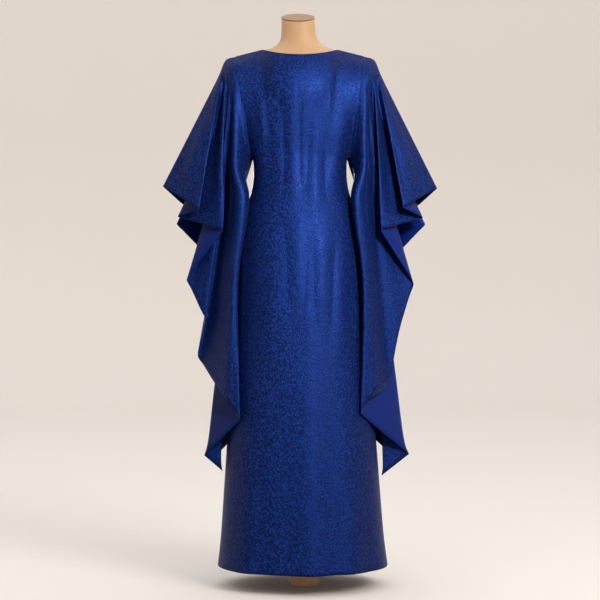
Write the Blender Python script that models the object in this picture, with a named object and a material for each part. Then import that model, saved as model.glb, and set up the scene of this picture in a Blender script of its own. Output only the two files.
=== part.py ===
"""Full-length kaftan with long cascading sleeves, on a headless, armless dress form with one round foot."""

import math

import bmesh
import bpy
import numpy as np

# Driving sizes, in millimetres. The shared frame is in metres, +Z up, and the photo's side faces -Y.
MM = 0.001
WALL = 1.6
SEAM_GAP = 0.3
UNDERARM_EASE = 0.5
SHOULDER_HALF = 178.0
SHOULDER_HEIGHT = 1467.0
NECK_HALF = 104.4
NECK_SIDE_HEIGHT = 1485.6
NECK_NEAR_HEIGHT = 1460.0
NECK_NEAR_DEPTH = 80.0
NECK_FAR_HEIGHT = 1440.0
NECK_FAR_DEPTH = 84.0
UNDERARM_HEIGHT = 1178.0
SHOULDER_FULLNESS = 2.4
SIDE_FLATNESS = 2.4
BODY_COLUMNS = 12
NECK_COLUMNS = 5
SLEEVE_ROWS = 8
FOLD_WIDTH = 12.0
FOLD_LENGTH = 9.0
FOLD_EARLY = 0.7
FOLD_LATE = 1.5
ROW_SPREAD = 1.25
OFFSET_EARLY = 0.42
BOW_EARLY = 0.6
LATE_SHARES = (0.15, 0.27)
LEG_SHARE = 0.3
LONG_SPAN = 55.0
ARMHOLE_CENTRE = 1320.0
FORM_DROP = 1.15
FORM_INSET = 3.5
FORM_CLEAR_LOW = 10.0
FORM_CLEAR_HIGH = 7.0
FOOT_X = 12.0
FOOT_RADIUS = 41.7
PILLAR_TOP = 769.7
CLOTH_COLOUR = (0.012, 0.033, 0.2)
SKIN_COLOUR = (0.62, 0.40, 0.21)
PLATE_COLOUR = (0.40, 0.25, 0.12)
CLOTH_ROUGHNESS = 0.42
SKIN_ROUGHNESS = 0.5

# Level sections of the body cloth, from hem to underarm: centre, half width, depth near and far.
# The roundness is 1 for an oval and less where the section is squarer, towards the armholes.
BODY = {
    "height": (56, 130, 234, 350, 470, 600, 720, 840, 957, 1040, 1085, 1130, 1178),
    "centre": (7.5, 6.5, 5.5, 5, 4, 3, 2, 1, 0, 0, 0, 0, 0),
    "half_width": (236, 226, 219, 210.5, 202, 193, 185, 177.5, 170, 154, 136, 128.5, 130),
    "near": (190, 182, 174, 166, 158, 149, 141, 132, 122, 112, 99, 93, 95),
    "far": (192.43, 183, 174, 164, 155, 145, 136, 127, 117, 108, 101, 99, 105),
    "roundness": (1, 1, 1, 1, 1, 1, 1, 1, 1, 0.98, 0.96, 0.94, 0.93),
}
# Depth of the middle line from underarm to neckline, on each side.
MIDDLE = {
    "height": (1178, 1250, 1330, 1400, 1440, 1460),
    "near": (95, 103, 109, 104, 91, 80),
    "far": (105, 119, 122, 104, 90, 84),
}
# Half of the armhole seam on each side, by share of its length from shoulder to underarm.
ARMHOLE = {
    "share": (0, 0.165, 0.30, 0.52, 0.75, 0.89, 1),
    "out": (178, 173, 167.5, 158, 148, 138, 130),
    "near": (0, 45, 62, 68, 60, 35, 0),
    "far": (0, 43, 60, 67, 60, 36, 0),
    "height": (1467, 1430, 1388, 1310, 1230, 1190, 1178),
}
# Where the sleeve head turns at the padded corner and starts to fall, measured from the armhole seam.
HEAD = {
    "share": (0, 0.05, 0.10, 0.15, 0.20, 0.25, 0.32, 0.40, 0.60, 0.80, 1),
    "corner_out": (32, 31, 28, 24, 20, 15, 11, 7, 4, 3, 3),
    "corner_down": (8, 8, 9, 10, 11, 12, 13, 12, 10, 8, 7),
    "fall_out": (43, 40, 33, 27, 21, 16, 12, 9, 6, 6, 6),
    "fall_down": (42, 42, 42, 42, 42, 41, 39, 36, 30, 24, 20),
}
# Soft folds of the skirt: side of the body, place at the hem from -1 to 1, top, depth and half width.
SKIRT_FOLDS = (
    {"side": "near", "place": -0.66, "top": 470, "depth": 9, "reach": 0.10},
    {"side": "near", "place": -0.47, "top": 560, "depth": -8, "reach": 0.10},
    {"side": "near", "place": -0.20, "top": 700, "depth": -7, "reach": 0.13},
    {"side": "near", "place": 0.13, "top": 800, "depth": 11, "reach": 0.14},
    {"side": "near", "place": 0.37, "top": 620, "depth": -9, "reach": 0.12},
    {"side": "near", "place": 0.56, "top": 430, "depth": 8, "reach": 0.10},
    {"side": "near", "place": 0.78, "top": 480, "depth": -6, "reach": 0.09},
    {"side": "far", "place": -0.60, "top": 560, "depth": 8, "reach": 0.12},
    {"side": "far", "place": -0.28, "top": 640, "depth": -8, "reach": 0.14},
    {"side": "far", "place": 0.08, "top": 760, "depth": 9, "reach": 0.15},
    {"side": "far", "place": 0.42, "top": 540, "depth": -8, "reach": 0.13},
    {"side": "far", "place": 0.70, "top": 460, "depth": 7, "reach": 0.10},
)
# Folds of each sleeve round its hem. The share runs along the armhole from shoulder to underarm.
# The hem point is given out from the middle, away from the camera and up. A turn of 1 folds the cloth
# back at the outside, -1 at the inside and 0 lets it run on. The bow carries the fall outwards.
LEFT_NEAR = (
    {"share": 0.00, "out": 382.6, "away": -5, "up": 1106.7, "turn": 1, "bow": 0},
    {"share": 0.05, "out": 271.8, "away": -95, "up": 1037.4, "turn": -1, "bow": 0},
    {"share": 0.09, "out": 339.1, "away": -15, "up": 1019.7, "turn": 1, "bow": 0},
    {"share": 0.13, "out": 210.9, "away": -88, "up": 982.9, "turn": -1, "bow": 0},
    {"share": 0.165, "out": 315.6, "away": -4, "up": 842.9, "turn": 1, "bow": 0},
    {"share": 0.20, "out": 260.0, "away": -33, "up": 740, "turn": -1, "bow": 0},
    {"share": 0.24, "out": 284.0, "away": 12, "up": 626.1, "turn": 1, "bow": 0},
    {"share": 0.28, "out": 238.0, "away": -42, "up": 566, "turn": 0, "bow": 0},
    {"share": 0.33, "out": 198.0, "away": -99, "up": 516, "turn": 0, "bow": 2},
    {"share": 0.50, "out": 185.0, "away": -98, "up": 500, "turn": 0, "bow": 4},
    {"share": 0.72, "out": 174.0, "away": -106, "up": 485, "turn": 0, "bow": 8},
    {"share": 0.88, "out": 160.0, "away": -112, "up": 469, "turn": 0, "bow": 20},
    {"share": 0.91, "out": 163.0, "away": -99, "up": 463, "turn": 0, "bow": 20},
    {"share": 0.95, "out": 266.7, "away": 14, "up": 356.7, "turn": 0, "bow": 16},
    {"share": 1.00, "out": 216.0, "away": 8, "up": 314, "turn": 0, "bow": 26},
)
LEFT_FAR = (
    {"share": 0.08, "out": 322.0, "away": 88, "up": 1055, "turn": -1, "bow": 0},
    {"share": 0.16, "out": 345.3, "away": 30, "up": 1000, "turn": 1, "bow": 0},
    {"share": 0.24, "out": 236.0, "away": 98, "up": 890, "turn": -1, "bow": 0},
    {"share": 0.33, "out": 283.0, "away": 30, "up": 790, "turn": 1, "bow": 0},
    {"share": 0.50, "out": 222.0, "away": 84, "up": 600, "turn": 0, "bow": 6},
    {"share": 0.72, "out": 183.0, "away": 116, "up": 448, "turn": 0, "bow": 12},
    {"share": 0.88, "out": 167.0, "away": 119, "up": 422, "turn": 0, "bow": 20},
    {"share": 0.91, "out": 171.0, "away": 105, "up": 416, "turn": 0, "bow": 20},
    {"share": 0.95, "out": 244.0, "away": 34, "up": 345, "turn": 0, "bow": 18},
)
RIGHT_NEAR = (
    {"share": 0.00, "out": 382.6, "away": -5, "up": 1101.1, "turn": 1, "bow": 0},
    {"share": 0.05, "out": 278.6, "away": -95, "up": 1042.8, "turn": -1, "bow": 0},
    {"share": 0.09, "out": 340.5, "away": -15, "up": 1016.9, "turn": 1, "bow": 0},
    {"share": 0.13, "out": 220.4, "away": -88, "up": 982.9, "turn": -1, "bow": 0},
    {"share": 0.165, "out": 316.4, "away": -4, "up": 830.4, "turn": 1, "bow": 0},
    {"share": 0.20, "out": 272.0, "away": -30, "up": 702, "turn": 0, "bow": 0},
    {"share": 0.24, "out": 247.0, "away": -36, "up": 563, "turn": 0, "bow": 0},
    {"share": 0.28, "out": 230.0, "away": -58, "up": 545, "turn": 0, "bow": 0},
    {"share": 0.33, "out": 201.0, "away": -97, "up": 529, "turn": 0, "bow": 2},
    {"share": 0.50, "out": 188.0, "away": -98, "up": 521, "turn": 0, "bow": 4},
    {"share": 0.72, "out": 177.0, "away": -107, "up": 510, "turn": 0, "bow": 8},
    {"share": 0.88, "out": 162.0, "away": -113, "up": 485, "turn": 0, "bow": 20},
    {"share": 0.91, "out": 165.0, "away": -100, "up": 479, "turn": 0, "bow": 20},
    {"share": 0.95, "out": 306.7, "away": 52, "up": 356.7, "turn": 0, "bow": 30},
    {"share": 1.00, "out": 228.0, "away": 27, "up": 299, "turn": 0, "bow": 26},
)
RIGHT_FAR = (
    {"share": 0.08, "out": 324.0, "away": 88, "up": 1052, "turn": -1, "bow": 0},
    {"share": 0.16, "out": 350.6, "away": 30, "up": 999, "turn": 1, "bow": 0},
    {"share": 0.24, "out": 240.0, "away": 98, "up": 885, "turn": -1, "bow": 0},
    {"share": 0.33, "out": 286.0, "away": 30, "up": 780, "turn": 1, "bow": 0},
    {"share": 0.50, "out": 226.0, "away": 84, "up": 600, "turn": 0, "bow": 6},
    {"share": 0.72, "out": 190.0, "away": 118, "up": 460, "turn": 0, "bow": 12},
    {"share": 0.88, "out": 173.0, "away": 121, "up": 432, "turn": 0, "bow": 20},
    {"share": 0.91, "out": 177.0, "away": 107, "up": 426, "turn": 0, "bow": 20},
    {"share": 0.95, "out": 268.0, "away": 82, "up": 345, "turn": 0, "bow": 18},
)
# Level sections of the dress form below the underarm, and of its neck.
FORM_LOWER = {
    "height": (770, 800, 850, 900, 957, 1040, 1085, 1130, 1178),
    "half_width": (48, 104, 143, 154, 160, 144, 127, 120, 121),
    "near": (42, 74, 98, 107, 111, 101, 89, 83, 84),
    "far": (42, 74, 95, 103, 107, 96, 86, 83, 85),
}
FORM_SIDE = {
    "share": (0, 0.06, 0.165, 0.30, 0.52, 0.75, 0.89, 1),
    "out": (173, 177, 176, 171, 160, 144, 131, 121),
    "height": (1465.8, 1453, 1426, 1388, 1310, 1230, 1195, 1178),
}
NECK = {
    "height": (1490, 1497, 1507, 1522, 1548, 1572.5),
    "centre": (0, -1, -2, -3.5, -5, -5.5),
    "half_width": (82, 66, 55, 49.5, 47, 47),
    "half_depth": (66, 58, 53, 50, 48, 48),
}
NECK_TILT = math.radians(21)
# The thin cap on the cut: how wide each ring is, as a part of the rim, and how far it stands off it.
CAP = {
    "size": (0.97, 1.0, 1.0, 0.96, 0.6, 0.3),
    "rise": (0.3, 1.5, 3.2, 4.2, 4.6, 4.8),
}


def clear_scene():
    for thing in list(bpy.data.objects):
        bpy.data.objects.remove(thing, do_unlink=True)


def smooth(table, where, column, value):
    """A table's column at a value of another, along a smooth curve through its rows."""
    xs = np.array(table[where], float)
    ys = np.array(table[column], float)
    if xs[0] > xs[-1]:
        xs, ys = xs[::-1], ys[::-1]
    slopes = np.gradient(ys, xs)
    value = np.clip(np.asarray(value, float), xs[0], xs[-1])
    spot = np.clip(np.searchsorted(xs, value) - 1, 0, len(xs) - 2)
    width = xs[spot + 1] - xs[spot]
    part = (value - xs[spot]) / width
    rise = part * part * (3 - 2 * part)
    start = part * (1 - part) ** 2 * width * slopes[spot]
    end = part * part * (part - 1) * width * slopes[spot + 1]
    return ys[spot] * (1 - rise) + ys[spot + 1] * rise + start + end


def unit(vectors):
    return vectors / np.maximum(np.linalg.norm(vectors, axis=-1, keepdims=True), 1e-9)


def grid_normals(grid, closed):
    """The direction square to the cloth at each of its points."""
    if closed:
        along = unit(np.roll(grid, -1, axis=1) - grid) + unit(grid - np.roll(grid, 1, axis=1))
    else:
        along = np.gradient(grid, axis=1)
    down = np.gradient(grid, axis=0)
    return unit(np.cross(along, down))


def set_material(thing, name, colour, roughness):
    """A plain colour for the node, named after its piece."""
    material = bpy.data.materials.new(name)
    material.use_nodes = True
    shader = material.node_tree.nodes["Principled BSDF"]
    shader.inputs["Base Color"].default_value = (*colour, 1.0)
    shader.inputs["Roughness"].default_value = roughness
    thing.data.materials.append(material)


def finish_mesh(shape, name):
    bmesh.ops.recalc_face_normals(shape, faces=shape.faces[:])
    data = bpy.data.meshes.new(name)
    shape.to_mesh(data)
    shape.free()
    thing = bpy.data.objects.new(name, data)
    bpy.context.scene.collection.objects.link(thing)
    return thing


def place_grid(shape, points, closed):
    """A grid of faces with its points moved to the given places, joined into a tube if it is closed."""
    rows, columns = points.shape[:2]
    steps = columns if closed else columns - 1
    place = shape.verts.layers.int.get("place") or shape.verts.layers.int.new("place")
    made = bmesh.ops.create_grid(shape, x_segments=steps, y_segments=rows - 1, size=1.0)
    for vert in made["verts"]:
        column = round((vert.co.x + 1.0) / 2.0 * steps) % columns
        row = round((vert.co.y + 1.0) / 2.0 * (rows - 1))
        vert[place] = row * columns + column
    for vert in made["verts"]:
        vert.co = points[vert[place] // columns, vert[place] % columns] * MM
    if closed:
        bmesh.ops.remove_doubles(shape, verts=made["verts"], dist=1e-6)
    return place


def cloth_wall(name, outer, inner, closed):
    """Cloth as a closed wall between its outer and inner side."""
    columns = outer.shape[1]
    shape = bmesh.new()
    place = place_grid(shape, outer, closed)
    every = shape.verts[:] + shape.edges[:] + shape.faces[:]
    made = bmesh.ops.extrude_face_region(shape, geom=every, use_keep_orig=True)
    for item in made["geom"]:
        if isinstance(item, bmesh.types.BMVert):
            item.co = inner[item[place] // columns, item[place] % columns] * MM
    return finish_mesh(shape, name)


# The body

NEAR_SHARES = [row["share"] for row in LEFT_NEAR]
FAR_SHARES = [0.0] + [row["share"] for row in LEFT_FAR] + [1.0]


def armhole(side, share):
    """A point of the armhole seam of the right arm."""
    sign = -1 if side == "near" else 1
    out = smooth(ARMHOLE, "share", "out", share)
    depth = sign * smooth(ARMHOLE, "share", side, share)
    return np.array([out, depth, smooth(ARMHOLE, "share", "height", share)])


def skirt_offset(side, place, height):
    """How far the folds move the cloth out."""
    moved = 0.0
    for fold in SKIRT_FOLDS:
        if fold["side"] == side and height < fold["top"]:
            rise = ((fold["top"] - height) / (fold["top"] - 56)) ** 1.2
            moved += fold["depth"] * rise * math.exp(-(((place - fold["place"]) / fold["reach"]) ** 2))
    return moved


def lower_point(side, hand, step, height):
    """A point of the body below the underarm. The step runs from the middle to the side seam."""
    sign = -1 if side == "near" else 1
    angle = step / BODY_COLUMNS * math.pi / 2
    half = smooth(BODY, "height", "half_width", height)
    depth = smooth(BODY, "height", side, height)
    across = math.sin(angle)
    out = skirt_offset(side, hand * across, height) * math.cos(angle) ** 0.5
    x = hand * across * (half + out * across)
    y = sign * max(math.cos(angle), 0.0) ** smooth(BODY, "height", "roundness", height) * (depth + out)
    return np.array([x + smooth(BODY, "height", "centre", height), y, height])


def top_point(side, step, drop, inset):
    """A point of the neckline, then of the shoulder seam."""
    sign = -1 if side == "near" else 1
    depth = NECK_NEAR_DEPTH if side == "near" else NECK_FAR_DEPTH
    low = NECK_NEAR_HEIGHT if side == "near" else NECK_FAR_HEIGHT
    if step <= NECK_COLUMNS:
        angle = step / NECK_COLUMNS * math.pi / 2
        x = (NECK_HALF - inset) * math.sin(angle)
        y = sign * (depth - inset) * math.cos(angle)
        return np.array([x, y, NECK_SIDE_HEIGHT - drop - (NECK_SIDE_HEIGHT - low) * math.cos(angle) ** 1.4])
    part = (step - NECK_COLUMNS) / (BODY_COLUMNS - NECK_COLUMNS)
    x = NECK_HALF - inset + (SHOULDER_HALF - NECK_HALF) * part
    return np.array([x, 0.0, NECK_SIDE_HEIGHT - drop + (SHOULDER_HEIGHT - NECK_SIDE_HEIGHT) * part])


def patch(bottom, top, middle, edge, heights):
    """A smooth surface filled in between its four borders."""
    count = len(bottom)
    grid = np.zeros((len(heights), count, 3))
    for row, t in enumerate(heights):
        for step in range(count):
            s = step / (count - 1)
            up = np.array([t, t ** SHOULDER_FULLNESS, t])
            side = np.array([s, s ** SIDE_FLATNESS, s])
            ruled = (1 - up) * bottom[step] + up * top[step] + (1 - side) * middle[row] + side * edge[row]
            corners = (1 - side) * (1 - up) * bottom[0] + side * (1 - up) * bottom[-1]
            corners = corners + (1 - side) * up * top[0] + side * up * top[-1]
            grid[row, step] = ruled - corners
    return grid


def upper_heights(edge):
    """How far up each row of the yoke stands, from 0 at the underarm to 1 at the shoulder."""
    climbs = (edge[:, 2] - edge[0, 2]) / (edge[-1, 2] - edge[0, 2])
    steps = np.linspace(0, 1, len(edge))
    return 0.6 * climbs + 0.4 * steps


def body_half(side, hand):
    """Rows from hem to shoulder and columns from the middle to the side."""
    shares = (NEAR_SHARES if side == "near" else FAR_SHARES)[::-1]
    flip = np.array([hand, 1, 1])
    lower = [[lower_point(side, hand, step, h) for step in range(BODY_COLUMNS + 1)] for h in BODY["height"]]
    edge = np.array([armhole(side, share) for share in shares])
    heights = upper_heights(edge)
    sign = -1 if side == "near" else 1
    low = NECK_NEAR_HEIGHT if side == "near" else NECK_FAR_HEIGHT
    climbs = UNDERARM_HEIGHT + (low - UNDERARM_HEIGHT) * heights
    scaled = UNDERARM_HEIGHT + (1460 - UNDERARM_HEIGHT) * heights
    top = np.array([top_point(side, step, 0, 0) for step in range(BODY_COLUMNS + 1)])
    middle = np.array([[0, sign * smooth(MIDDLE, "height", side, s), c] for s, c in zip(scaled, climbs)])
    middle[-1] = top[0]
    bottom = np.array([lower_point(side, 1, step, UNDERARM_HEIGHT) for step in range(BODY_COLUMNS + 1)])
    upper = patch(bottom, top, middle, edge, heights) * flip
    return np.concatenate([np.array(lower), upper[1:]])


def seam_frame(points, normals):
    """At an armhole, the direction through the cloth and the direction across the seam."""
    radial = points - np.array([0, 0, ARMHOLE_CENTRE])
    radial[:, 0] = 0
    through = unit(normals + unit(radial))
    along = np.gradient(points, axis=0)
    across = unit(np.cross(along, through))
    across = across * np.sign(across[:, :1])
    return through, across


def build_body():
    """The two halves that show, the far piece, and the armhole seams that the sleeves start from."""
    low_rows = len(BODY["height"])
    grids = {(side, hand): body_half(side, hand) for side in ("near", "far") for hand in (-1, 1)}
    normals = {}
    for key, grid in grids.items():
        facing = key[1] * (-1 if key[0] == "near" else 1)
        normals[key] = grid_normals(grid, False) * facing
        if normals[key][3, 0, 1] * (-1 if key[0] == "near" else 1) < 0:
            normals[key] = -normals[key]
    seams = {}
    for hand in (-1, 1):
        near, far = normals["near", hand], normals["far", hand]
        shared = unit(near[:low_rows, -1] + far[:low_rows, -1])
        shared[:, 1:] = 0
        near[:low_rows, -1] = far[:low_rows, -1] = unit(shared)
        shared = unit(near[-1, NECK_COLUMNS:] + far[-1, NECK_COLUMNS:])
        shared[:, 1] = 0
        near[-1, NECK_COLUMNS:] = far[-1, NECK_COLUMNS:] = unit(shared)
        for side in ("near", "far"):
            rows = slice(low_rows - 1, None)
            points = grids[side, hand][rows, -1] * np.array([hand, 1, 1])
            square = normals[side, hand][rows, -1] * np.array([hand, 1, 1])
            through, across = seam_frame(points, square)
            for end in (0, -1):
                through[end, 1] = 0
                through = unit(through)
                down = -math.copysign(through[end, 0], through[end, 2])
                across[end] = np.array([abs(through[end, 2]), 0, down])
            normals[side, hand][rows, -1] = through * np.array([hand, 1, 1])
            seams[side, hand] = (points, through, across)
        for side in ("near", "far"):
            middle = normals[side, hand][:, 0]
            middle[:, 0] = 0
            normals[side, hand][:, 0] = unit(middle)
    half_gap = SEAM_GAP / 2
    walls = {}
    for (side, hand), grid in grids.items():
        inner = grid - normals[side, hand] * WALL
        outer = grid.copy()
        sign = -1 if side == "near" else 1
        across = seams[side, hand][2] * np.array([hand, 1, 1])
        for layer in (outer, inner):
            layer[low_rows - 1:, -1] -= across * half_gap
            layer[:low_rows, -1, 1] += sign * half_gap
            layer[-1, NECK_COLUMNS:, 1] += sign * half_gap
            if side == "near":
                layer[:, 0, 0] += hand * half_gap
        walls[side, hand] = (outer, inner)
    for hand, name in ((-1, "body_left"), (1, "body_right")):
        thing = cloth_wall(name, *walls["near", hand], closed=False)
        set_material(thing, name + "_cloth", CLOTH_COLOUR, CLOTH_ROUGHNESS)
    left, right = walls["far", -1], walls["far", 1]
    whole = [np.concatenate([left[layer][:, :0:-1], right[layer]], axis=1) for layer in (0, 1)]
    thing = cloth_wall("body_far", *whole, closed=False)
    set_material(thing, "body_far_cloth", CLOTH_COLOUR, CLOTH_ROUGHNESS)
    return seams


# The sleeves


def hairpin_leg(towards):
    """A short way along a layer, from the fold that ends it."""
    return towards / np.linalg.norm(towards[:2]) * FOLD_LENGTH


def hem_columns(near, far):
    """Each column of a sleeve, all round: its share of the armhole, hem point, offset, bow and lateness.

    None stands for a column halfway between its neighbours."""
    loop = [dict(row, side="near") for row in near] + [dict(row, side="far") for row in reversed(far)]
    count = len(loop)
    places = [np.array([row["out"], row["away"], row["up"]], float) for row in loop]
    shares = [row["share"] if row["side"] == "near" else 2 - row["share"] for row in loop]
    none = np.zeros(3)
    columns = []
    for index, row in enumerate(loop):
        here = places[index]
        before, after = places[index - 1], places[(index + 1) % count]
        share_before = shares[index - 1] - (2 if index == 0 else 0)
        share_after = shares[(index + 1) % count] + (2 if index == count - 1 else 0)
        tucked = row["turn"] == 1 and row["share"] > 0
        tucked = tucked or LATE_SHARES[0] < row["share"] < LATE_SHARES[1]
        late = FOLD_LATE if tucked else 1.0
        if row["turn"]:
            back = hairpin_leg(before - here)
            on = hairpin_leg(after - here)
            apart = np.array([on[0] - back[0], on[1] - back[1], 0])
            width = np.linalg.norm(apart)
            apart = apart / max(width, 1e-9) * max(0.0, FOLD_WIDTH - width) / 2
            start = shares[index] + LEG_SHARE * (share_before - shares[index])
            end = shares[index] + LEG_SHARE * (share_after - shares[index])
            columns.append((start, here, back - apart, row["bow"], late))
            columns.append((shares[index], here, none, row["bow"], late))
            columns.append((end, here, on + apart, row["bow"], late))
        else:
            columns.append((shares[index], here, none, row["bow"], late))
        if np.linalg.norm(after - here) > LONG_SPAN:
            columns.append(None)
    return columns


def seam_point(seams, hand, share):
    """A point of the armhole seam's own polygon, with the directions through and across the seam."""
    share = share % 2
    side = "near" if share <= 1 else "far"
    along = share if side == "near" else 2 - share
    stations = NEAR_SHARES if side == "near" else FAR_SHARES
    pick = []
    for layer in seams[side, hand]:
        from_shoulder = layer[::-1]
        pick.append(np.array([np.interp(along, stations, from_shoulder[:, axis]) for axis in range(3)]))
    return side, along, pick[0], unit(pick[1]), unit(pick[2])


def sleeve_column(seams, hand, column):
    """The points of one column from seam to hem, and the direction through the cloth at the seam."""
    share, hem, offset, bow, late = column
    side, along, point, through, across = seam_point(seams, hand, share)
    away = -1 if side == "near" else 1
    lift = 4 * math.sin(math.pi * min(1, along * 1.4)) if along < 0.72 else 0
    ease = UNDERARM_EASE * max(0.0, (along - 0.85) / 0.15)
    start = point + across * (SEAM_GAP / 2 + ease)
    reaches = [smooth(HEAD, "share", name, along) for name in ("corner_out", "fall_out")]
    drops = [smooth(HEAD, "share", name, along) for name in ("corner_down", "fall_down")]
    corner = point + np.array([reaches[0], away * lift * 0.5, -drops[0]])
    head = point + np.array([reaches[1], away * lift, -drops[1]])
    points = [start, (start + corner) / 2 + np.array([0, 0, 1.0]), corner]
    for step in range(SLEEVE_ROWS + 1):
        fall = (step / SLEEVE_ROWS) ** ROW_SPREAD
        reach = np.array([fall ** late, fall ** FOLD_EARLY, fall])
        carry = np.array([bow * math.sin(math.pi * fall ** BOW_EARLY), 0, 0])
        points.append(head + (hem - head) * reach + carry + offset * fall ** OFFSET_EARLY)
    return np.array(points), through


def build_sleeve(name, hand, near, far, seams):
    columns = hem_columns(near, far)
    made = [sleeve_column(seams, hand, column) if column else None for column in columns]
    for index, column in enumerate(columns):
        if column is None:
            before, after = made[index - 1], made[(index + 1) % len(made)]
            made[index] = ((before[0] + after[0]) / 2, unit(before[1] + after[1]))
    outer = np.stack([points for points, through in made], axis=1)
    normals = grid_normals(outer, True)
    if normals[4, 1, 0] < 0:
        normals = -normals
    normals[0] = np.array([through for points, through in made])
    inner = outer - normals * WALL
    flip = np.array([hand, 1, 1])
    thing = cloth_wall(name, outer * flip, inner * flip, closed=True)
    set_material(thing, name + "_cloth", CLOTH_COLOUR, CLOTH_ROUGHNESS)


# The dress form


def form_half(side, hand):
    """Rows from the pillar to the shoulder and columns from the middle to the side."""
    sign = -1 if side == "near" else 1
    shares = np.array(FORM_SIDE["share"])[::-1]
    outs = smooth(FORM_SIDE, "share", "out", shares)
    edge = np.stack([outs, np.zeros(len(shares)), smooth(FORM_SIDE, "share", "height", shares)], axis=1)
    heights = upper_heights(edge)
    angles = [step / BODY_COLUMNS * math.pi / 2 for step in range(BODY_COLUMNS + 1)]
    lower = []
    for height in FORM_LOWER["height"]:
        half = smooth(FORM_LOWER, "height", "half_width", height)
        depth = smooth(FORM_LOWER, "height", side, height)
        lower.append([[half * math.sin(a), sign * depth * math.cos(a), height] for a in angles])
    lower = np.array(lower)
    top = np.array([top_point(side, step, FORM_DROP, FORM_INSET) for step in range(BODY_COLUMNS + 1)])
    top[-1] = edge[-1]
    scaled = UNDERARM_HEIGHT + (1460 - UNDERARM_HEIGHT) * heights
    climbs = UNDERARM_HEIGHT + (top[0, 2] - UNDERARM_HEIGHT) * heights
    clear = FORM_CLEAR_LOW + (FORM_CLEAR_HIGH - FORM_CLEAR_LOW) * heights
    depths = sign * (smooth(MIDDLE, "height", side, scaled) - clear)
    middle = np.stack([np.zeros(len(depths)), depths, climbs], axis=1)
    middle[0] = lower[-1][0]
    middle[-1] = top[0]
    upper = patch(lower[-1], top, middle, edge, heights)
    return np.concatenate([lower, upper[1:]]) * np.array([hand, 1, 1])


def build_form():
    """The torso and neck as one closed skin, zipped along the shoulders."""
    near_left, near_right = form_half("near", -1), form_half("near", 1)
    far_left, far_right = form_half("far", -1), form_half("far", 1)
    quarters = [near_right[:, :-1], far_right[:, :0:-1], far_left[:, :-1], near_left[:, :0:-1]]
    ring = np.concatenate(quarters, axis=1)
    half = 2 * BODY_COLUMNS
    steps = np.arange(ring.shape[1]) % half
    base = ring[-1][np.minimum(steps, half - steps) <= NECK_COLUMNS]
    rows = [base]
    tilt = np.tan(NECK_TILT)
    for index, height in enumerate(NECK["height"]):
        blend = (index + 1) / len(NECK["height"])
        row = []
        for point in base:
            angle = math.atan2(point[0] / NECK_HALF, -point[1] / NECK_NEAR_DEPTH)
            x = NECK["centre"][index] + NECK["half_width"][index] * math.sin(angle)
            y = -NECK["half_depth"][index] * math.cos(angle)
            settle = (1 - blend) ** 2 * (point[2] - NECK_SIDE_HEIGHT + FORM_DROP)
            row.append([x, y, height + settle + max(0, blend - 0.5) * 2 * tilt * y])
        rows.append(row)
    neck = np.array(rows, float)
    shape = bmesh.new()
    place_grid(shape, ring, True)
    place_grid(shape, neck, True)
    bmesh.ops.remove_doubles(shape, verts=shape.verts[:], dist=1e-6)
    edges = [edge for edge in shape.edges if len(edge.link_faces) == 1]
    bmesh.ops.holes_fill(shape, edges=edges, sides=0)
    thing = finish_mesh(shape, "form_torso")
    set_material(thing, "form_torso_skin", SKIN_COLOUR, SKIN_ROUGHNESS)
    build_cap(neck[-1])
    build_foot()


def build_cap(rim):
    """A thin oval plate on the slanted cut of the neck."""
    centre = rim.mean(axis=0)
    normal = np.array([0, -math.sin(NECK_TILT), math.cos(NECK_TILT)])
    rows = []
    for size, rise in zip(CAP["size"], CAP["rise"]):
        rows.append(centre + (rim - centre) * size + normal * rise)
    shape = bmesh.new()
    place_grid(shape, np.array(rows), True)
    edges = [edge for edge in shape.edges if len(edge.link_faces) == 1]
    bmesh.ops.holes_fill(shape, edges=edges, sides=0)
    thing = finish_mesh(shape, "form_cap")
    set_material(thing, "form_cap_skin", PLATE_COLOUR, SKIN_ROUGHNESS)


def build_foot():
    """A round pillar turned about its axis, from the floor to just under the torso."""
    profile = ((0, 0), (FOOT_RADIUS - 3.5, 0), (FOOT_RADIUS - 1, 1.2), (FOOT_RADIUS, 4.5), (FOOT_RADIUS, 30),
               (36, 90), (34, 400), (34, PILLAR_TOP), (0, PILLAR_TOP))
    shape = bmesh.new()
    verts = [shape.verts.new(((FOOT_X + r) * MM, 0, z * MM)) for r, z in profile]
    edges = [shape.edges.new((a, b)) for a, b in zip(verts, verts[1:])]
    bmesh.ops.spin(shape, geom=verts + edges, cent=(FOOT_X * MM, 0, 0), axis=(0, 0, 1),
                   angle=math.tau, steps=32, use_merge=True)
    bmesh.ops.remove_doubles(shape, verts=shape.verts[:], dist=1e-6)
    set_material(finish_mesh(shape, "form_foot"), "form_foot_skin", SKIN_COLOUR, SKIN_ROUGHNESS)


clear_scene()
armholes = build_body()
build_sleeve("sleeve_left", -1, LEFT_NEAR, LEFT_FAR, armholes)
build_sleeve("sleeve_right", 1, RIGHT_NEAR, RIGHT_FAR, armholes)
build_form()
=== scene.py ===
# %% [markdown]
# # A brocade kaftan on a dress form
#
# The real object is a full-length kaftan of royal blue brocade. Its long sleeves cascade in folds from
# padded shoulders, and it hangs on a headless, armless dress form that stands on one round foot.
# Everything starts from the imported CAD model, which fixes where each piece is. The cloth could be simulated,
# but its folds are known from the photo, so each piece of cloth is a smooth shell on its own CAD wall.

# %% Load the frame
import math

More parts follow.
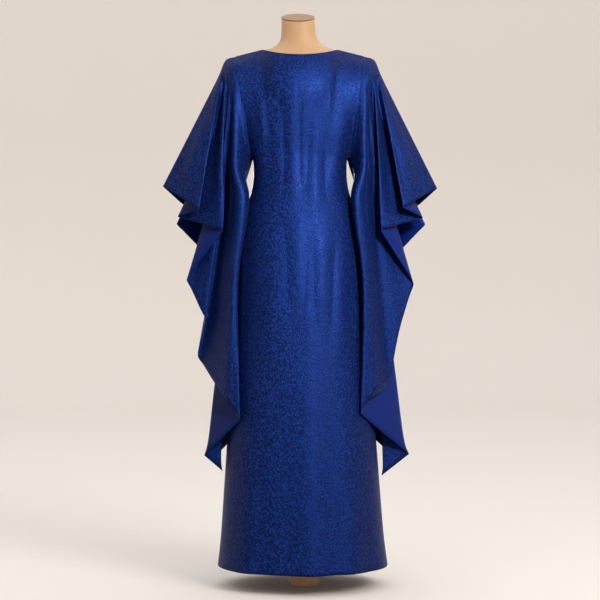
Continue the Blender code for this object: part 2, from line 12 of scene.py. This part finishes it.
import bmesh
import bpy
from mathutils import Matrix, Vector


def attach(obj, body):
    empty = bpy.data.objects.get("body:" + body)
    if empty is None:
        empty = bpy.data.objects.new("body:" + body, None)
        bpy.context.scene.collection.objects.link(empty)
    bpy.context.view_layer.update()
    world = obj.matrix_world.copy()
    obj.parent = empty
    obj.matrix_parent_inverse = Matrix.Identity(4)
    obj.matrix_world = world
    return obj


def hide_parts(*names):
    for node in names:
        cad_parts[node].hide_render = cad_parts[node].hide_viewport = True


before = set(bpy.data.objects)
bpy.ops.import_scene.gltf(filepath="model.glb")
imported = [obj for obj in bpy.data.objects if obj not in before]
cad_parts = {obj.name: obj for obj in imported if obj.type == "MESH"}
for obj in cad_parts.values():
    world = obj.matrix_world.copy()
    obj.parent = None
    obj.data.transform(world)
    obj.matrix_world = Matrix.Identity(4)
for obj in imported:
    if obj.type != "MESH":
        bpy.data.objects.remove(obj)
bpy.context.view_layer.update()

print("CAD nodes:", ", ".join(sorted(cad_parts)))

# %% Sizes in millimetres
MM = 0.001
CAD_WALL = 1.6
CLOTH = 1.1
print(f"a wall of {CAD_WALL} mm becomes cloth of {CLOTH} mm")

# %% [markdown]
# ## From a CAD wall to a sheet
#
# A CAD wall has an outer side, an inner side and a rim, all in loose triangles. A maker thinks of one sheet
# with a direction up and a direction round. So the wall is copied and merged, its rim and its inner side are
# taken off, and the slanting edge of each pair of triangles is dissolved. What is left is a grid of
# four-sided faces, which subdivides into smooth cloth with no lumps.

# %% A merged copy of a node
SAME_PLACE = 0.02


def merged_copy(node):
    """The node's triangles with points at the same place made one."""
    shape = bmesh.new()
    shape.from_mesh(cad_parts[node].data)
    bmesh.ops.remove_doubles(shape, verts=shape.verts[:], dist=SAME_PLACE * MM)
    return shape


# %% The outer side of a wall


def islands(faces):
    """Groups of faces that hang together."""
    left = set(faces)
    groups = []
    while left:
        front = [left.pop()]
        group = set(front)
        while front:
            face = front.pop()
            for edge in face.edges:
                for other in edge.link_faces:
                    if other in left:
                        left.discard(other)
                        group.add(other)
                        front.append(other)
        groups.append(group)
    return groups


def flux(faces):
    """Above zero where faces look away from their middle, as on a wall's outer side, and below it inside."""
    middle = sum((face.calc_center_median() for face in faces), Vector()) / len(faces)
    return sum((face.calc_center_median() - middle).dot(face.normal) * face.calc_area() for face in faces)


def keep_outer_side(shape):
    """Takes off the rim, whose faces are as wide as the wall, and then the inner side."""
    rim = {face for edge in shape.edges for face in edge.link_faces
           if abs(edge.calc_length() - CAD_WALL * MM) < SAME_PLACE * MM}
    sides = islands([face for face in shape.faces if face not in rim])
    keep = max(sides, key=flux)
    drop = [face for face in shape.faces if face not in keep]
    bmesh.ops.delete(shape, geom=drop, context="FACES")


# %% The row that each point stands in
LEVEL_EDGE = 0.05
LEVEL_POINTS = 4


def first_row(shape):
    """The edge that rows are counted from: a body's level hem, or the edge with a sleeve's highest point."""
    rim = [vert for vert in shape.verts if vert.is_boundary]
    lowest = min(vert.co.z for vert in rim)
    level = [vert for vert in rim if vert.co.z < lowest + LEVEL_EDGE * MM]
    if len(level) > LEVEL_POINTS:
        return level
    front = [max(rim, key=lambda vert: vert.co.z)]
    row = set(front)
    while front:
        vert = front.pop()
        for edge in vert.link_edges:
            other = edge.other_vert(vert)
            if edge.is_boundary and other not in row:
                row.add(other)
                front.append(other)
    return list(row)


def count_rows(shape):
    """How many edges lie between each point and the first row."""
    front = first_row(shape)
    rows = {vert: 0 for vert in front}
    while front:
        following = []
        for vert in front:
            for edge in vert.link_edges:
                other = edge.other_vert(vert)
                if other not in rows:
                    rows[other] = rows[vert] + 1
                    following.append(other)
        front = following
    return rows


# %% Four-sided faces


def crosses_rows(edge, rows):
    """Whether an edge leads from one row to another."""
    return rows[edge.verts[0]] != rows[edge.verts[1]]


def ladder(start, rows):
    """The edges between two rows, one after the other along them."""
    path = [start]
    face = start.link_faces[0]
    while True:
        step = next(edge for edge in face.edges if edge != path[-1] and crosses_rows(edge, rows))
        if step == start:
            return path
        path.append(step)
        onward = [other for other in step.link_faces if other != face]
        if not onward:
            return path
        face = onward[0]


def square_up(shape):
    """Dissolves every second edge between two rows, which are the slanting ones."""
    rows = count_rows(shape)
    left = {edge for edge in shape.edges if crosses_rows(edge, rows)}
    slanting = []
    while left:
        start = next((edge for edge in left if edge.is_boundary), None)
        path = ladder(start or next(iter(left)), rows)
        even = sum(edge.calc_length() for edge in path[0::2])
        odd = sum(edge.calc_length() for edge in path[1::2])
        slanting += path[1::2] if start or odd > even else path[0::2]
        left -= set(path)
    bmesh.ops.dissolve_edges(shape, edges=slanting, use_verts=False)


# %% [markdown]
# ## Folds that stay crisp
#
# Subdivision rounds every edge. That is right for a soft fold, which has three columns of points close
# together. A fold with one column, or the point where a hem turns, would shrink away from its place, so it
# is given a crease weight first. Weights between 0 and 1 leave a small round, as pressed cloth has.

# %% Crease weights
FOLD_CREASE = 0.25
FOLD_ANGLE = math.radians(62)
CORNER_TURN = math.radians(50)
LONG_SIDE = 16


def weigh_folds(shape):
    """Weighs each fold of one column, each sharp turn of a hem, and the corners of the sheet."""
    edge_weight = shape.edges.layers.float.new("crease_edge")
    point_weight = shape.verts.layers.float.new("crease_vert")
    for edge in shape.edges:
        if len(edge.link_faces) == 2 and edge.calc_face_angle() > FOLD_ANGLE:
            beside = [face.calc_area() / edge.calc_length() for face in edge.link_faces]
            if min(beside) > LONG_SIDE * MM:
                edge[edge_weight] = FOLD_CREASE
    for vert in shape.verts:
        hems = [edge.other_vert(vert).co - vert.co for edge in vert.link_edges if edge.is_boundary]
        if len(hems) == 2 and min(side.length for side in hems) > LONG_SIDE * MM:
            if math.pi - hems[0].angle(hems[1]) > CORNER_TURN:
                vert[point_weight] = 1.0
    for vert in shape.verts:
        if vert.is_boundary and len(vert.link_edges) == 2:
            vert[point_weight] = 1.0


# %% [markdown]
# ## Soft creases
#
# Cloth that hangs from a shoulder has long shallow ridges and troughs between its big folds, and a dart or a
# seam draws a faint line. They could be sculpted by hand. Here each is one row of a table, in millimetres:
# where it starts and ends on the cloth, how wide it is and how far it stands out. A depth below zero is a
# trough. Every point moves along the depth of the garment by the sum of the rows on its side.

# %% The table of creases
CREASES = (
    {"side": "near", "from": (83, 1412), "to": (80, 1240), "width": 4, "depth": -0.7},
    {"side": "near", "from": (-108, 1370), "to": (-97, 1180), "width": 12, "depth": -4.5},
    {"side": "near", "from": (-6, 1420), "to": (-5, 1180), "width": 4, "depth": -0.7},
    {"side": "near", "from": (-25, 1420), "to": (-22, 1010), "width": 22, "depth": 4.5},
    {"side": "near", "from": (14, 1360), "to": (10, 1060), "width": 18, "depth": -2.5},
    {"side": "near", "from": (44, 1310), "to": (42, 980), "width": 22, "depth": 5.0},
    {"side": "near", "from": (-62, 1340), "to": (-56, 1070), "width": 22, "depth": -3.0},
    {"side": "near", "from": (120, 1330), "to": (94, 1060), "width": 26, "depth": -9.0},
    {"side": "near", "from": (-126, 1330), "to": (-104, 1070), "width": 20, "depth": -6.0},
    {"side": "near", "from": (130, 1440), "to": (78, 1396), "width": 20, "depth": 4.0},
    {"side": "near", "from": (-10, 1060), "to": (-2, 740), "width": 24, "depth": 3.5},
    {"side": "near", "from": (64, 1030), "to": (58, 680), "width": 28, "depth": 5.0},
    {"side": "near", "from": (30, 980), "to": (26, 620), "width": 20, "depth": -3.0},
    {"side": "near", "from": (-70, 990), "to": (-78, 620), "width": 30, "depth": -4.0},
    {"side": "near", "from": (112, 980), "to": (108, 600), "width": 20, "depth": -4.5},
    {"side": "near", "from": (-176, 1345), "to": (-187, 500), "width": 13, "depth": 7.5},
    {"side": "near", "from": (-208, 1395), "to": (-227, 1000), "width": 12, "depth": 8.0},
    {"side": "near", "from": (-192, 1340), "to": (-207, 960), "width": 8, "depth": -5.0},
    {"side": "near", "from": (-262, 1310), "to": (-318, 1075), "width": 20, "depth": 8.0},
    {"side": "near", "from": (-250, 1230), "to": (-272, 1050), "width": 12, "depth": -5.0},
    {"side": "near", "from": (-157, 1110), "to": (-163, 560), "width": 8, "depth": -4.0},
    {"side": "near", "from": (170, 1365), "to": (181, 520), "width": 14, "depth": 7.5},
    {"side": "near", "from": (190, 1350), "to": (233, 1000), "width": 12, "depth": 8.0},
    {"side": "near", "from": (184, 1320), "to": (205, 940), "width": 8, "depth": -5.0},
    {"side": "near", "from": (262, 1310), "to": (318, 1075), "width": 20, "depth": 8.0},
    {"side": "near", "from": (246, 1240), "to": (272, 1050), "width": 12, "depth": -5.0},
    {"side": "near", "from": (155, 1110), "to": (159, 580), "width": 8, "depth": -4.0},
    {"side": "far", "from": (70, 1380), "to": (66, 1180), "width": 8, "depth": -4.0},
    {"side": "far", "from": (-74, 1385), "to": (-68, 1190), "width": 8, "depth": -4.0},
    {"side": "far", "from": (-20, 1330), "to": (-14, 1080), "width": 24, "depth": 4.0},
    {"side": "far", "from": (34, 1300), "to": (40, 1060), "width": 20, "depth": -3.5},
    {"side": "far", "from": (-60, 1010), "to": (-44, 720), "width": 34, "depth": 4.0},
    {"side": "far", "from": (60, 980), "to": (74, 700), "width": 34, "depth": -4.0},
)
print(len(CREASES), "soft creases")

# %% The field that moves the cloth
END_FADE = 2.2
END_SHARE = 0.15
SIDE_FADE = 40


def ease(share):
    """A smooth step from 0 to 1."""
    share = min(1.0, max(0.0, share))
    return share * share * (3 - 2 * share)


def crease_depth(row, x, z):
    """How far one row moves the cloth at a place. It fades towards both ends of the crease."""
    start, end = Vector(row["from"]), Vector(row["to"])
    along = end - start
    spot = Vector((x, z)) - start
    share = spot.dot(along) / along.length_squared
    across = (spot - along * share).length
    inside = min(share, 1 - share)
    fade = ease(inside * END_FADE + END_SHARE)
    return row["depth"] * fade * math.exp(-((across / row["width"]) ** 2))


def press_creases(data):
    """Moves every point outwards by the creases of its side, and less the nearer it is to the side seam."""
    for vert in data.vertices:
        x, y, z = (value / MM for value in vert.co)
        side = "near" if y < 0 else "far"
        moved = sum(crease_depth(row, x, z) for row in CREASES if row["side"] == side)
        vert.co.y += math.copysign(moved * ease(abs(y) / SIDE_FADE), y) * MM


# %% [markdown]
# ## Sleeves that hang close to the waist
#
# On the near side each sleeve hangs in front of the waist, so only a sliver of light shows between them. The
# CAD sleeves stand further off, which keeps the openings in the skirt clear of collision pieces. The sheet
# could be cut and moved, but a bell-shaped field leans it over with no break. It is strongest beside the
# waist and fades out upwards, downwards, sideways and towards the far side.

# %% The lean
LEAN = 25.0
LEAN_PLACE = (158, 1045)
LEAN_REACH = (42, 140)
LEAN_TOP = 1170
LEAN_FADE = 100
LEAN_DEPTH = (15, 55)


def lean_inwards(data):
    """Moves a sleeve's near layers towards the waist, and forward by half as much."""
    for vert in data.vertices:
        x, y, z = (value / MM for value in vert.co)
        off = ((abs(x) - LEAN_PLACE[0]) / LEAN_REACH[0]) ** 2 + ((z - LEAN_PLACE[1]) / LEAN_REACH[1]) ** 2
        near = ease((-y - LEAN_DEPTH[0]) / (LEAN_DEPTH[1] - LEAN_DEPTH[0]))
        moved = LEAN * math.exp(-off) * near * ease((LEAN_TOP - z) / LEAN_FADE)
        vert.co.x -= math.copysign(moved, x) * MM
        vert.co.y -= moved / 2 * MM


# %% [markdown]
# ## An even bodice
#
# The fitted bodice curves smoothly from the waist to the shoulders. The CAD wall turns a little at the
# height of the underarm, where its columns bend round the armhole, and shiny cloth shows that as a level
# line. The smooth operator would pull the points in from the sides as well, so only the depth is eased,
# along the columns, towards a straight line between the points above and below.

# %% Ease the depth along the columns
SOFTEN_BAND = (1085, 1310)
SOFTEN_TURNS = 16


def soften_bodice(shape):
    """Moves points of the band half of the way to their line, a few times over."""
    rows = count_rows(shape)
    bottom, top = (height * MM for height in SOFTEN_BAND)
    band = [vert for vert in shape.verts if bottom < vert.co.z < top and not vert.is_boundary]
    lines = []
    for vert in band:
        others = [edge.other_vert(vert) for edge in vert.link_edges]
        above = [other for other in others if rows[other] > rows[vert]]
        below = [other for other in others if rows[other] < rows[vert]]
        if above and below:
            share = (vert.co.z - below[0].co.z) / (above[0].co.z - below[0].co.z)
            lines.append((vert, below[0], above[0], share))
    for turn in range(SOFTEN_TURNS):
        depths = [low.co.y + (high.co.y - low.co.y) * share for vert, low, high, share in lines]
        for line, depth in zip(lines, depths):
            vert = line[0]
            vert.co.y += (depth - vert.co.y) / 2
    print(f"eased {len(lines)} points of the bodice")


# %% [markdown]
# ## Sheets of cloth
#
# Each cut piece becomes one sheet. The two near halves are sewn to one, because their seam is pressed flat
# and shows as no more than a faint line. The sheet is subdivided, creased and given its thickness inwards,
# with the brocade's figured face outside and its plain reverse inside. Subdivision could stay live as a
# modifier, but the creases need its points.

# %% Turning a bmesh into a smooth piece


def subdivided(shape, name, levels):
    """The shape as an object whose subdivision is already in its mesh."""
    data = bpy.data.meshes.new(name)
    shape.to_mesh(data)
    shape.free()
    piece = bpy.data.objects.new(name, data)
    bpy.context.scene.collection.objects.link(piece)
    finer = piece.modifiers.new("finer", "SUBSURF")
    finer.levels = levels
    finer.render_levels = levels
    graph = bpy.context.evaluated_depsgraph_get()
    smooth = bpy.data.meshes.new_from_object(piece.evaluated_get(graph))
    piece.modifiers.clear()
    piece.data = smooth
    smooth.name = name
    smooth.shade_smooth()
    return piece


# %% Sewing the sheets of several nodes
SEAM = 0.45


def stitched(nodes):
    """The outer sides of some nodes as one sheet, sewn where their edges meet."""
    whole = bmesh.new()
    for node in nodes:
        shape = merged_copy(node)
        keep_outer_side(shape)
        square_up(shape)
        data = bpy.data.meshes.new(node)
        shape.to_mesh(data)
        shape.free()
        whole.from_mesh(data)
        bpy.data.meshes.remove(data)
    rim = [vert for vert in whole.verts if vert.is_boundary]
    bmesh.ops.remove_doubles(whole, verts=rim, dist=SEAM * MM)
    return whole


# %% One sheet from its nodes


def cloth_shell(nodes, name, levels):
    """Cloth on the outer sides of some nodes, which it replaces."""
    shape = stitched(nodes)
    if name.startswith("kaftan_body"):
        soften_bodice(shape)
    weigh_folds(shape)
    four = sum(len(face.verts) == 4 for face in shape.faces)
    print(f"{name}: {four} of {len(shape.faces)} faces have four sides")
    piece = subdivided(shape, name, levels)
    press_creases(piece.data)
    wall = piece.modifiers.new("wall", "SOLIDIFY")
    wall.thickness = CLOTH * MM
    wall.offset = -1
    wall.material_offset = 1
    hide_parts(*nodes)
    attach(piece, "root")
    return piece


# %% The cloth
FULL_LEVELS = 3
LEVELS = FULL_LEVELS
body_near = cloth_shell(("body_left", "body_right"), "kaftan_body_near", LEVELS)
body_far = cloth_shell(("body_far",), "kaftan_body_far", LEVELS)
sleeve_left = cloth_shell(("sleeve_left",), "kaftan_sleeve_left", LEVELS)
sleeve_right = cloth_shell(("sleeve_right",), "kaftan_sleeve_right", LEVELS)
for sleeve in (sleeve_left, sleeve_right):
    lean_inwards(sleeve.data)
cloths = (body_near, body_far, sleeve_left, sleeve_right)


# %% [markdown]
# ## The dress form
#
# The form is moulded in one skin, with a thin oval plate on the cut of the neck and a turned pillar. Only
# the neck and the foot show. Their CAD shapes are right but faceted, so each is copied, its triangles are
# joined in pairs and it is subdivided. The form stays inside the cloth, because subdivision draws it in.

# %% The form's pieces
FORM_LEVELS = 2
FORM_PAIRS = math.radians(60)
FORM_RIM = math.radians(50)


def moulded(node, name):
    """A smooth copy of a node, which stays sharp along edges that turn by more than FORM_RIM."""
    shape = merged_copy(node)
    bmesh.ops.join_triangles(shape, faces=shape.faces[:], angle_face_threshold=FORM_PAIRS,
                             angle_shape_threshold=math.pi, topology_influence=2.0)
    weight = shape.edges.layers.float.new("crease_edge")
    for edge in shape.edges:
        if len(edge.link_faces) == 2 and edge.calc_face_angle() > FORM_RIM:
            edge[weight] = 1.0
    piece = subdivided(shape, name, FORM_LEVELS)
    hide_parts(node)
    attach(piece, "root")
    return piece


torso = moulded("form_torso", "form_torso_skin")
cap = moulded("form_cap", "form_cap_plate")
foot = moulded("form_foot", "form_foot_pillar")
print("form pieces:", torso.name, cap.name, foot.name)

# %% [markdown]
# ## Brocade
#
# Brocade is a satin ground with a figure woven over it, here both in one royal blue. The figure is a fine
# crackle of short broken shapes a few millimetres across, all over. Its threads float, so it is lighter and
# shinier than the ground, and the eye sees a mottle that sparkles where light grazes it. A picture could
# carry the pattern, but a warped cell texture in real millimetres has no seams or repeats. The base colours
# are dark, because most of the blue on glossy dyed yarn is reflected light: the shader is a third metallic
# and its reflections are tinted.

# %% Nodes and colours


def linear(code):
    """An sRGB hex colour as linear values."""
    values = [int(code[place:place + 2], 16) / 255 for place in (1, 3, 5)]
    return tuple(v / 12.92 if v <= 0.04045 else ((v + 0.055) / 1.055) ** 2.4 for v in values) + (1.0,)


def add(tree, kind, settings=(), links=()):
    """Adds a node. Settings are its properties or inputs, and links are inputs and what feeds them."""
    node = tree.nodes.new(kind)
    for name, value in dict(settings).items():
        if isinstance(name, str) and hasattr(node, name):
            setattr(node, name, value)
        else:
            node.inputs[name].default_value = value
    for name, socket in dict(links).items():
        tree.links.new(socket, node.inputs[name])
    return node


def new_material(name):
    """A material with its node tree and its shader."""
    material = bpy.data.materials.new(name)
    material.use_nodes = True
    tree = material.node_tree
    return material, tree, tree.nodes["Principled BSDF"]


def texture_scale(size):
    """The scale of a texture whose features are about this many millimetres across."""
    return 1000 / size


# %% The figure, all over the cloth
FIGURE_CELL = 3.0
FIGURE_WARP = 4.5
FIGURE_SHIFT = 0.004
FIGURE_BREAK = 5.5


def brocade_figure(tree, place):
    """One in the figure's cells and nothing in the cracks between them or where the figure breaks off."""
    warp = add(tree, "ShaderNodeTexNoise", {"Scale": texture_scale(FIGURE_WARP), "Detail": 2.0},
               {"Vector": place})
    shift = add(tree, "ShaderNodeVectorMath", {"operation": "MULTIPLY_ADD", 1: (FIGURE_SHIFT,) * 3},
                {0: warp.outputs["Color"], 2: place})
    cells = add(tree, "ShaderNodeTexVoronoi",
                {"feature": "DISTANCE_TO_EDGE", "Scale": texture_scale(FIGURE_CELL)},
                {"Vector": shift.outputs["Vector"]})
    inside = add(tree, "ShaderNodeMapRange", {"From Min": 0.02, "From Max": 0.22},
                 {"Value": cells.outputs["Distance"]})
    broken = add(tree, "ShaderNodeTexNoise", {"Scale": texture_scale(FIGURE_BREAK), "Detail": 3.0},
                 {"Vector": place})
    gate = add(tree, "ShaderNodeMapRange", {"From Min": 0.42, "From Max": 0.58},
               {"Value": broken.outputs["Fac"]})
    figure = add(tree, "ShaderNodeMath", {"operation": "MULTIPLY"},
                 {0: inside.outputs["Result"], 1: gate.outputs["Result"]})
    return figure.outputs["Value"]


# %% The figured side
# A thread is thinner than the 1.3 mm here. It is drawn as coarse as it needs to show.
THREAD = 1.3
THREAD_SHARE = 0.35
RELIEF = 0.0006
MOTTLE = 45.0
GROUND_DARK = "#030923"
GROUND_LIGHT = "#050d2e"
FIGURE_BLUE = "#091d52"
GLOSS_BLUE = "#4a78f0"
NAP_BLUE = "#7f97f0"


def brocade():
    """Figured satin brocade in dyed yarn: dark matt ground, lighter glossy figure, tinted highlights."""
    material, tree, shader = new_material("brocade_satin_ground")
    place = add(tree, "ShaderNodeTexCoord").outputs["Object"]
    figure = brocade_figure(tree, place)
    mottle = add(tree, "ShaderNodeTexNoise", {"Scale": texture_scale(MOTTLE), "Detail": 3.0},
                 {"Vector": place})
    ground = add(tree, "ShaderNodeMix", {"data_type": "RGBA"}, {0: mottle.outputs["Fac"]})
    ground.inputs[6].default_value = linear(GROUND_DARK)
    ground.inputs[7].default_value = linear(GROUND_LIGHT)
    colour = add(tree, "ShaderNodeMix", {"data_type": "RGBA"}, {0: figure, 6: ground.outputs[2]})
    colour.inputs[7].default_value = linear(FIGURE_BLUE)
    tree.links.new(colour.outputs[2], shader.inputs["Base Color"])
    rough = add(tree, "ShaderNodeMapRange", {"To Min": 0.46, "To Max": 0.30}, {"Value": figure})
    tree.links.new(rough.outputs["Result"], shader.inputs["Roughness"])
    thread = add(tree, "ShaderNodeTexNoise", {"Scale": texture_scale(THREAD), "Detail": 1.0},
                 {"Vector": place})
    height = add(tree, "ShaderNodeMath", {"operation": "MULTIPLY_ADD", 1: THREAD_SHARE},
                 {0: thread.outputs["Fac"], 2: figure})
    bump = add(tree, "ShaderNodeBump", {"Strength": 0.75, "Distance": RELIEF},
               {"Height": height.outputs["Value"]})
    tree.links.new(bump.outputs["Normal"], shader.inputs["Normal"])
    shader.inputs["Metallic"].default_value = 0.35
    shader.inputs["Specular IOR Level"].default_value = 0.36
    shader.inputs["Specular Tint"].default_value = linear(GLOSS_BLUE)
    shader.inputs["Sheen Weight"].default_value = 0.02
    shader.inputs["Sheen Roughness"].default_value = 0.35
    shader.inputs["Sheen Tint"].default_value = linear(NAP_BLUE)
    return material


# %% The plain reverse
FLOAT_MARK = 9.0
FLOAT_RELIEF = 0.0004
REVERSE_DARK = "#040f38"
REVERSE_LIGHT = "#061446"
REVERSE_GLOSS = "#4f74e8"


def reverse_satin():
    """The back of brocade is plain and dull, with soft marks where the figure's threads lie loose."""
    material, tree, shader = new_material("brocade_plain_reverse")
    place = add(tree, "ShaderNodeTexCoord").outputs["Object"]
    float_marks = add(tree, "ShaderNodeTexNoise", {"Scale": texture_scale(FLOAT_MARK), "Detail": 3.0},
                      {"Vector": place})
    colour = add(tree, "ShaderNodeMix", {"data_type": "RGBA"}, {0: float_marks.outputs["Fac"]})
    colour.inputs[6].default_value = linear(REVERSE_DARK)
    colour.inputs[7].default_value = linear(REVERSE_LIGHT)
    tree.links.new(colour.outputs[2], shader.inputs["Base Color"])
    bump = add(tree, "ShaderNodeBump", {"Strength": 0.3, "Distance": FLOAT_RELIEF},
               {"Height": float_marks.outputs["Fac"]})
    tree.links.new(bump.outputs["Normal"], shader.inputs["Normal"])
    shader.inputs["Roughness"].default_value = 0.42
    shader.inputs["Specular IOR Level"].default_value = 0.12
    shader.inputs["Specular Tint"].default_value = linear(REVERSE_GLOSS)
    return material


front_cloth = brocade()
back_cloth = reverse_satin()
for piece in cloths:
    piece.data.materials.clear()
    piece.data.materials.append(front_cloth)
    piece.data.materials.append(back_cloth)
print("cloth materials:", front_cloth.name, back_cloth.name)

# %% [markdown]
# ## The form's skin
#
# The form is moulded plastic with a satin tan coat, a little rough from its mould. The pillar and its foot
# have the same skin, and the plate on the neck a browner one. A clear coat would shine too much, so the
# gloss comes from roughness alone.

# %% Moulded skin
TONE_PATCH = 30.0
MOULD_GRAIN = 1.5
GRAIN_RELIEF = 0.0003


def moulded_skin(name, code, darker):
    """Satin-coated moulded plastic: soft wide highlights, a tone that drifts a little and a fine grain."""
    material, tree, shader = new_material(name)
    place = add(tree, "ShaderNodeTexCoord").outputs["Object"]
    tone = add(tree, "ShaderNodeTexNoise", {"Scale": texture_scale(TONE_PATCH), "Detail": 3.0},
               {"Vector": place})
    colour = add(tree, "ShaderNodeMix", {"data_type": "RGBA"}, {0: tone.outputs["Fac"]})
    colour.inputs[6].default_value = linear(darker)
    colour.inputs[7].default_value = linear(code)
    tree.links.new(colour.outputs[2], shader.inputs["Base Color"])
    grain = add(tree, "ShaderNodeTexNoise", {"Scale": texture_scale(MOULD_GRAIN), "Detail": 2.0},
                {"Vector": place})
    bump = add(tree, "ShaderNodeBump", {"Strength": 0.12, "Distance": GRAIN_RELIEF},
               {"Height": grain.outputs["Fac"]})
    tree.links.new(bump.outputs["Normal"], shader.inputs["Normal"])
    shader.inputs["Roughness"].default_value = 0.46
    return material


skin = moulded_skin("satin_coated_plastic", "#c79f76", "#be966c")
plate_skin = moulded_skin("satin_coated_plastic_brown", "#9a744e", "#8f6b46")
for piece, material in ((torso, skin), (cap, plate_skin), (foot, skin)):
    piece.data.materials.clear()
    piece.data.materials.append(material)
print("form materials:", skin.name, plate_skin.name)

# %% [markdown]

# %% [markdown]
# ## The studio
#
# The floor is warm and pale and runs up into the backdrop with no horizon, and soft light comes from high on
# the right. One lamp could do both, but the dark cloth needs so much light that the floor would burn out. So
# a strong key lamp and a weak one from behind light the cloth alone, by light linking, and a wide room lamp
# and a white surround light everything. The camera stands at half the garment's height and looks level, so
# upright lines stay upright.

# %% The sweep
SWEEP_FLOOR = 6500
SWEEP_BEND = 2200
SWEEP_TOP = 6500
BEND_STEPS = 16
ROUND_STEPS = 64


def build_sweep():
    """A round floor that curves up into a wall all the way round, so that no view meets its edge."""
    shape = bmesh.new()
    profile = [(0.0, 0.0), (SWEEP_FLOOR, 0.0)]
    for step in range(1, BEND_STEPS + 1):
        angle = step / BEND_STEPS * math.pi / 2
        profile.append((SWEEP_FLOOR + SWEEP_BEND * math.sin(angle), SWEEP_BEND * (1 - math.cos(angle))))
    profile.append((SWEEP_FLOOR + SWEEP_BEND, SWEEP_TOP))
    verts = [shape.verts.new((out * MM, 0, up * MM)) for out, up in profile]
    edges = [shape.edges.new(pair) for pair in zip(verts, verts[1:])]
    bmesh.ops.spin(shape, geom=verts + edges, cent=(0, 0, 0), axis=(0, 0, 1), angle=math.tau,
                   steps=ROUND_STEPS, use_merge=True)
    bmesh.ops.remove_doubles(shape, verts=shape.verts[:], dist=SAME_PLACE * MM)
    bmesh.ops.recalc_face_normals(shape, faces=shape.faces[:])
    data = bpy.data.meshes.new("sweep")
    shape.to_mesh(data)
    shape.free()
    data.shade_smooth()
    sweep = bpy.data.objects.new("sweep", data)
    bpy.context.scene.collection.objects.link(sweep)
    material, _, shader = new_material("painted_sweep")
    shader.inputs["Base Color"].default_value = linear("#ebe5df")
    shader.inputs["Roughness"].default_value = 0.85
    shader.inputs["Specular IOR Level"].default_value = 0.1
    data.materials.append(material)


build_sweep()
print(f"the sweep is {2 * (SWEEP_FLOOR + SWEEP_BEND) * MM:.1f} m across")

# %% Lights


def soft_light(name, place, aim, size, power, spread, code, only=None):
    """A square lamp with a grid that keeps its light within an angle, placed and aimed in millimetres.

    With only, the lamp lights the pieces of that collection and nothing else."""
    data = bpy.data.lights.new(name, "AREA")
    data.size = size * MM
    data.energy = power
    data.spread = math.radians(spread)
    data.color = linear(code)[:3]
    lamp = bpy.data.objects.new(name, data)
    lamp.location = Vector(place) * MM
    lamp.rotation_euler = (Vector(aim) - Vector(place)).to_track_quat("-Z", "Y").to_euler()
    bpy.context.scene.collection.objects.link(lamp)
    if only:
        lamp.light_linking.receiver_collection = only


# %% The lamps and the white surround
SURROUND = 1.12
cloth_group = bpy.data.collections.new("cloth_lit_by_key")
for piece in cloths:
    cloth_group.objects.link(piece)
soft_light("key", place=(1450, -3650, 2600), aim=(0, 0, 950), size=650, power=68, spread=60,
           code="#fffaf4", only=cloth_group)
soft_light("far_key", place=(-900, 3900, 1900), aim=(0, 0, 950), size=900, power=9, spread=60,
           code="#fffaf4", only=cloth_group)
soft_light("room", place=(2300, -2600, 2900), aim=(0, 0, 900), size=1600, power=30, spread=110,
           code="#fff8f2")
world = bpy.data.worlds.new("studio_air")
world.use_nodes = True
background = world.node_tree.nodes["Background"]
background.inputs["Color"].default_value = linear("#ffffff")
background.inputs["Strength"].default_value = SURROUND
bpy.context.scene.world = world

# %% The camera
CAMERA_DISTANCE = 4200
CAMERA_HEIGHT = 790
FRAME_WIDTH = 1667
SENSOR = 36
camera_data = bpy.data.cameras.new("camera")
camera_data.sensor_width = SENSOR
camera_data.lens = CAMERA_DISTANCE * SENSOR / FRAME_WIDTH
camera = bpy.data.objects.new("camera", camera_data)
camera.location = Vector((0, -CAMERA_DISTANCE, CAMERA_HEIGHT)) * MM
camera.rotation_euler = (math.pi / 2, 0, 0)
bpy.context.scene.collection.objects.link(camera)
bpy.context.scene.camera = camera
bpy.context.scene.view_settings.view_transform = "Standard"
print(f"lens {camera_data.lens:.1f} mm")
